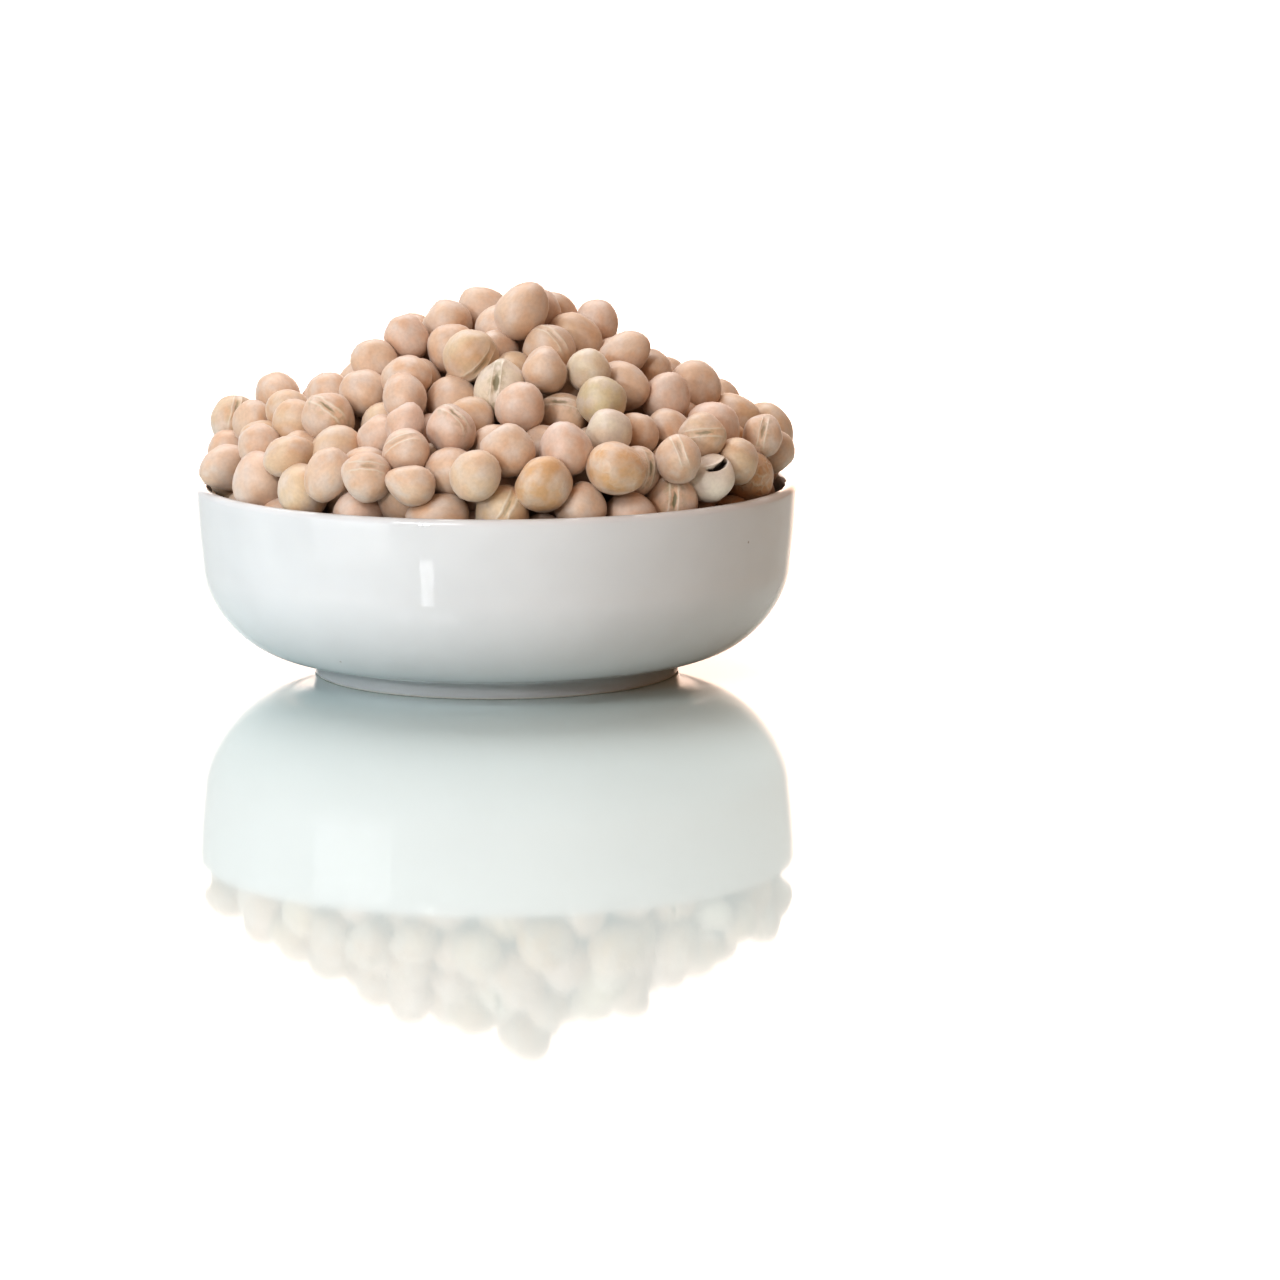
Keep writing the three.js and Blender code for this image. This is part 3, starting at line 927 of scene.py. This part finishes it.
def seam_marks(add, colours, colour, bump, place, across, along, front, mark):
    """The eye of a pea, the pale ridges beside it, and the grey-green mottles along them."""
    off = add("ShaderNodeMath", {0: across}, operation="ABSOLUTE")
    beside = add("ShaderNodeMapRange", {0: off, 1: 0.55, 2: 0.2})
    spots = add("ShaderNodeTexNoise", {"Vector": place, "Scale": 1 / SEAM_SPOT_WIDTH, "Detail": 3})
    spotted = add("ShaderNodeMapRange", {0: spots, 1: 0.48, 2: 0.62})
    strength = beside
    for share in (spotted, mark, front, 0.55):
        strength = add("ShaderNodeMath", {0: strength, 1: share}, operation="MULTIPLY")
    colour = add(
        "ShaderNodeMix", {0: strength, MIX_A: colour, MIX_B: linear(SEAM_SPOT_COLOUR)}, data_type="RGBA",
    ).outputs[MIXED]
    # The ridges, pale where they have rubbed.
    from_ridge = add("ShaderNodeMath", {0: off, 1: SEAM_WIDTH}, operation="SUBTRACT")
    from_either = add("ShaderNodeMath", {0: from_ridge}, operation="ABSOLUTE")
    ridge = add("ShaderNodeMapRange", {0: from_either, 1: 0.06, 2: 0.0, 4: 0.75})
    ends = add("ShaderNodeMapRange", {0: along, 1: 0.85, 2: 0.6})
    for share in (ends, front):
        ridge = add("ShaderNodeMath", {0: ridge, 1: share}, operation="MULTIPLY")
    colour = add(
        "ShaderNodeMix", {0: ridge, MIX_A: colour, MIX_B: tuple(colours.pale)}, data_type="RGBA",
    ).outputs[MIXED]
    # The eye, a dark scar.
    eye_x = add("ShaderNodeMath", {0: along, 1: EYE_LENGTH}, operation="DIVIDE")
    eye_y = add("ShaderNodeMath", {0: across, 1: EYE_WIDTH}, operation="DIVIDE")
    eye_place = add("ShaderNodeCombineXYZ", {0: eye_x, 1: eye_y})
    from_eye = add("ShaderNodeVectorMath", {0: eye_place}, operation="LENGTH").outputs["Value"]
    eye = add("ShaderNodeMapRange", {0: from_eye, 1: 1.25, 2: 0.75})
    for share in (front, mark):
        eye = add("ShaderNodeMath", {0: eye, 1: share}, operation="MULTIPLY")
    colour = add(
        "ShaderNodeMix", {0: eye, MIX_A: colour, MIX_B: tuple(colours.eye)}, data_type="RGBA",
    ).outputs[MIXED]
    bump = add("ShaderNodeBump", {
        "Height": ridge, "Strength": 0.6, "Distance": RIDGE_HEIGHT * MM, "Normal": bump,
    })
    return colour, bump


def flakes(add, colours, colour, bump, place, mark):
    """A net of fine wrinkles, a millimetre apart, with pale flakes of skin along it."""
    warped = add("ShaderNodeTexNoise", {"Vector": place, "Scale": 1 / NET_BEND}).outputs["Color"]
    bent = add("ShaderNodeVectorMath", {0: warped, 1: (NET_BEND,) * 3, 2: place}, operation="MULTIPLY_ADD")
    cells = add(
        "ShaderNodeTexVoronoi", {"Vector": bent, "Scale": 1 / NET_SPACING}, feature="DISTANCE_TO_EDGE",
    ).outputs["Distance"]
    edges = add("ShaderNodeMapRange", {0: cells, 1: 0.2, 2: 0.0})
    # The net fades in and out in patches, as the skin has flaked in some places only.
    flaked = add("ShaderNodeTexNoise", {"Vector": place, "Scale": 1 / FLAKED_WIDTH, "Detail": 1})
    flaked_share = add("ShaderNodeMapRange", {0: flaked, 1: 0.4, 2: 0.6})
    netted = add("ShaderNodeMath", {0: edges, 1: flaked_share}, operation="MULTIPLY")
    marked = add("ShaderNodeMath", {0: netted, 1: mark}, operation="MULTIPLY")
    share = add("ShaderNodeMath", {0: marked, 1: 0.5}, operation="MULTIPLY")
    colour = add(
        "ShaderNodeMix", {0: share, MIX_A: colour, MIX_B: tuple(colours.pale)}, data_type="RGBA",
    ).outputs[MIXED]
    bump = add("ShaderNodeBump", {
        "Height": marked, "Strength": 0.7, "Distance": NET_HEIGHT * MM, "Normal": bump,
    })
    return colour, bump


# ---- The heap ----


def pea_entry(pea, draw):
    """What one pea needs: where it lies, in metres, and its own draws."""
    x, y, z, radius = pea
    spread = [draw.uniform(-WIDTH_SPREAD, WIDTH_SPREAD) for _ in range(3)]
    return {
        "middle": (x * MM, y * MM, z * MM),
        "widths": [radius * MM * FULLNESS * (1 + more) for more in spread],
        "turn": [draw.uniform(-math.pi, math.pi) for _ in range(3)],
        "draw": [draw.uniform(0, 100) for _ in range(3)],
        "tone": draw.random(),
        "mark": draw.uniform(0.2, 1.0),
    }


def nearest_pea(spot, peas, free):
    """The free pea that is nearest to a spot in the photo."""
    def pixels_away(index):
        x, y = photo_pixel(*peas[index]["middle"])
        return math.hypot(x - spot.x, y - spot.y)
    return min(free, key=pixels_away)


def sort_peas(peas, shown, in_front, draw):
    """The peas of each kind by index: first those at spots of the photo, then a share of the rest."""
    kinds = {kind: [] for kind in SPOTS}
    free = set(in_front)
    for kind, spots in SPOTS.items():
        for spot in spots:
            index = nearest_pea(spot, peas, sorted(free))
            free.discard(index)
            peas[index]["turn"] = list(turn_to_spot(spot))
            peas[index]["mark"] = spot.mark
            kinds[kind].append(index)
    for index in sorted(set(shown) - set(in_front)):
        share = draw.random()
        if share < SEAMED_SHARE:
            kinds["seamed"].append(index)
        elif share < SEAMED_SHARE + GREEN_SHARE:
            kinds["green"].append(index)
        elif share < SEAMED_SHARE + GREEN_SHARE + FLAKY_SHARE:
            kinds["flaky"].append(index)
    taken = {index for members in kinds.values() for index in members}
    kinds["round"] = []
    for index in shown:
        if index not in taken:
            kinds[draw.choice(PLAIN_KINDS)].append(index)
    kinds["buried"] = sorted(set(range(len(peas))) - set(shown))
    return kinds


def bed_profile():
    """The bed fills the bowl up to the peas that were dropped on it. In millimetres."""
    lining = rounded_corner(FLOOR, LINING, LINING_CURVE, BED_STEPS)
    return [
        (0, FLOOR[1] + BED_GAP),
        *[(out - BED_GAP, height + BED_GAP) for out, height in lining],
        (LINING[0] - 2 * BED_GAP, BED_HEIGHT + BED_SINK),
        (0, BED_HEIGHT + BED_SINK),
    ]


class MakePeaHeap(bpy.types.Operator):
    """Drops the peas into the bowl and makes each kind of them"""

    bl_idname = "peas.make_heap"
    bl_label = "Make heap of peas"

    def execute(self, context):
        scene = context.scene
        sizes = scene.pea_heap
        colours = scene.pea_colours
        drop = PeaDrop(scene.pea_bowl, sizes)
        dropped = drop.peas(sizes.peas_dropped, sizes.seed)
        if not dropped:
            raise RuntimeError("no pea stayed in the heap: look at its sizes")
        places = np.array(dropped)
        looks = [(0, 0, 1)] + [(*way, slope) for slope in LOOK_SLOPES for way in COMPASS]
        best = np.max([open_shares(places, look, drop.rim, drop.bowl_height) for look in looks], axis=0)
        from_camera = open_shares(places, CAMERA_BACK, drop.rim, drop.bowl_height)
        shown = [index for index in range(len(dropped)) if best[index] >= LEAST_OPEN_SHARE]
        in_front = [index for index in shown if from_camera[index] >= FRONT_OPEN_SHARE]

        draw = random.Random(sizes.seed)
        peas = [pea_entry(pea, draw) for pea in dropped]
        kinds = sort_peas(peas, shown, in_front, draw)
        beige = [tuple(colours.pink), tuple(colours.beige), tuple(colours.beige), tuple(colours.straw)]
        green = [tuple(colours.green), tuple(colours.pale)]
        amber = [tuple(colours.amber)] * 2
        pale = [tuple(colours.pale)] * 2
        painted_shade = [tuple(colours.painted_shade)] * 2
        coats = dict.fromkeys(PLAIN_KINDS, seed_coat("seed_coat_plain", beige, colours))
        coats["seamed"] = seed_coat("seed_coat_seamed", beige, colours, seam=True)
        coats["green"] = seed_coat("seed_coat_unripe", green, colours, cheek=0.3)
        coats["pointed"] = seed_coat("seed_coat_unripe_seamed", green, colours, cheek=0.2, seam=True)
        coats["flaky"] = seed_coat("seed_coat_amber", amber, colours, cheek=0.2, net=True)
        coats["split"] = seed_coat("seed_coat_split", pale, colours, cheek=0.1, slit=True)
        # The buried peas' coat is painted shade, dark and red, which shows through the gaps between the peas
        # above them.
        coats["buried"] = seed_coat("seed_coat_buried", painted_shade, colours)
        for kind, members in kinds.items():
            make_peas("peas_" + kind, [peas[index] for index in members], FORMS[kind], coats[kind], sizes)
        # The bed is coloured with the same painted shade.
        bed = new_object("bed_of_peas", turned("bed_of_peas", bed_profile(), BED_SIDES))
        bed.data.materials.append(coats["buried"])
        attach(bed, BODY)
        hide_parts("pea_heap")
        return {"FINISHED"}


# ---- The stage ----


def white_acrylic(colour):
    """A cast acrylic sheet, white right through and polished.

    To the eye it is bright and glossy, and what stands on it is mirrored a little softly.
    """
    material, add = new_material("white_acrylic_sheet")
    place = add("ShaderNodeTexCoord").outputs["Object"]
    waves = add("ShaderNodeTexNoise", {"Vector": place, "Scale": 1 / WAVE_WIDTH, "Detail": 1})
    roughness = add("ShaderNodeMapRange", {0: waves, 3: 0.03, 4: 0.06})
    shader = add("ShaderNodeBsdfPrincipled", {
        "Base Color": tuple(colour), "Roughness": roughness, "IOR": 1.49,
    })
    add("ShaderNodeOutputMaterial", {0: shader})
    return material


def white_room(settings):
    """A room that is brighter and cooler on the left, with a lit white backdrop behind the bowl."""
    room = bpy.data.worlds.new("white_room")
    room.use_nodes = True
    room.node_tree.nodes.clear()
    add = partial(add_node, room.node_tree)
    way = add("ShaderNodeTexCoord").outputs["Generated"]
    parts = add("ShaderNodeSeparateXYZ", {0: way}).outputs
    side = add("ShaderNodeMapRange", {0: parts["X"], 1: -1, 2: 1, 3: settings.left, 4: settings.right})
    behind = add("ShaderNodeMapRange", {
        0: parts["Y"], 1: BACKDROP_SIDE[0], 2: BACKDROP_SIDE[1], 4: settings.back,
    })
    low = add("ShaderNodeMapRange", {0: parts["Z"], 1: BACKDROP_TOP[0], 2: BACKDROP_TOP[1]})
    backdrop = add("ShaderNodeMath", {0: behind, 1: low}, operation="MULTIPLY")
    strength = add("ShaderNodeMath", {0: side, 1: backdrop}, operation="ADD")
    warmth = add("ShaderNodeMapRange", {0: parts["X"], 1: -1, 2: 1})
    colour = add(
        "ShaderNodeMix", {0: warmth, MIX_A: linear(COOL_LIGHT), MIX_B: linear(WARM_LIGHT)}, data_type="RGBA",
    ).outputs[MIXED]
    light = add("ShaderNodeBackground", {"Color": colour, "Strength": strength})
    add("ShaderNodeOutputWorld", {0: light})
    return room


def shine(light, power):
    """Puts up one of the soft lights."""
    lamp = bpy.data.lights.new(light.name, "AREA")
    lamp.shape = "RECTANGLE"
    lamp.size = light.width
    lamp.size_y = light.height
    lamp.energy = power
    lamp.color = linear(LAMP_COLOUR)[:3]
    holder = new_object(light.name, lamp)
    holder.location = light.place
    holder.rotation_euler = (Vector(light.aim) - Vector(light.place)).to_track_quat("-Z", "Y").to_euler()


class MakePeaStage(bpy.types.Operator):
    """Makes the pale floor, the soft lights and the photo's camera"""

    bl_idname = "peas.make_stage"
    bl_label = "Make stage"

    def execute(self, context):
        scene = context.scene
        settings = scene.pea_stage
        shape = bmesh.new()
        bmesh.ops.create_circle(shape, cap_ends=True, segments=FLOOR_SIDES, radius=settings.floor_radius)
        floor_mesh = bpy.data.meshes.new("floor")
        shape.to_mesh(floor_mesh)
        shape.free()
        floor = new_object("floor", floor_mesh)
        floor.data.materials.append(white_acrylic(settings.floor))

        scene.world = white_room(settings)
        for light in SOFT_LIGHTS:
            shine(light, getattr(settings, light.power))

        camera = bpy.data.cameras.new("photo_camera")
        camera.lens = CAMERA_LENS
        camera.sensor_width = SENSOR_WIDTH
        viewer = new_object("photo_camera", camera)
        viewer.location = CAMERA_PLACE
        viewer.rotation_euler = CAMERA_BACK.to_track_quat("Z", "Y").to_euler()
        scene.camera = viewer
        # The photo has strong contrast: the gaps between its peas are deep and red.
        scene.view_settings.view_transform = "Standard"
        scene.view_settings.look = "High Contrast"
        scene.view_settings.exposure = settings.exposure
        return {"FINISHED"}


# ---- The add-on ----

OPERATORS = (MakePeaBowl, MakePeaHeap, MakePeaStage)
SETTINGS = {
    "pea_bowl": PeaBowlSizes,
    "pea_heap": PeaHeapSizes,
    "pea_colours": PeaColours,
    "pea_stage": PeaStageSettings,
}


class VIEW3D_PT_peas(bpy.types.Panel):
    """Lists the pieces and their sizes"""

    bl_label = "Bowl of dried peas"
    bl_space_type = "VIEW_3D"
    bl_region_type = "UI"
    bl_category = "Peas"

    def draw(self, context):
        for operator in OPERATORS:
            self.layout.operator(operator.bl_idname)
        for name, group in SETTINGS.items():
            box = self.layout.box()
            for setting in group.__annotations__:
                box.prop(getattr(context.scene, name), setting)


CLASSES = (*SETTINGS.values(), *OPERATORS, VIEW3D_PT_peas)


def register():
    for kind in CLASSES:
        bpy.utils.register_class(kind)
    for name, group in SETTINGS.items():
        setattr(bpy.types.Scene, name, bpy.props.PointerProperty(type=group))


def unregister():
    for name in SETTINGS:
        delattr(bpy.types.Scene, name)
    for kind in reversed(CLASSES):
        bpy.utils.unregister_class(kind)


def main():
    register()
    bpy.ops.peas.make_bowl()
    bpy.ops.peas.make_heap()
    bpy.ops.peas.make_stage()


if __name__ == "__main__":
    main()
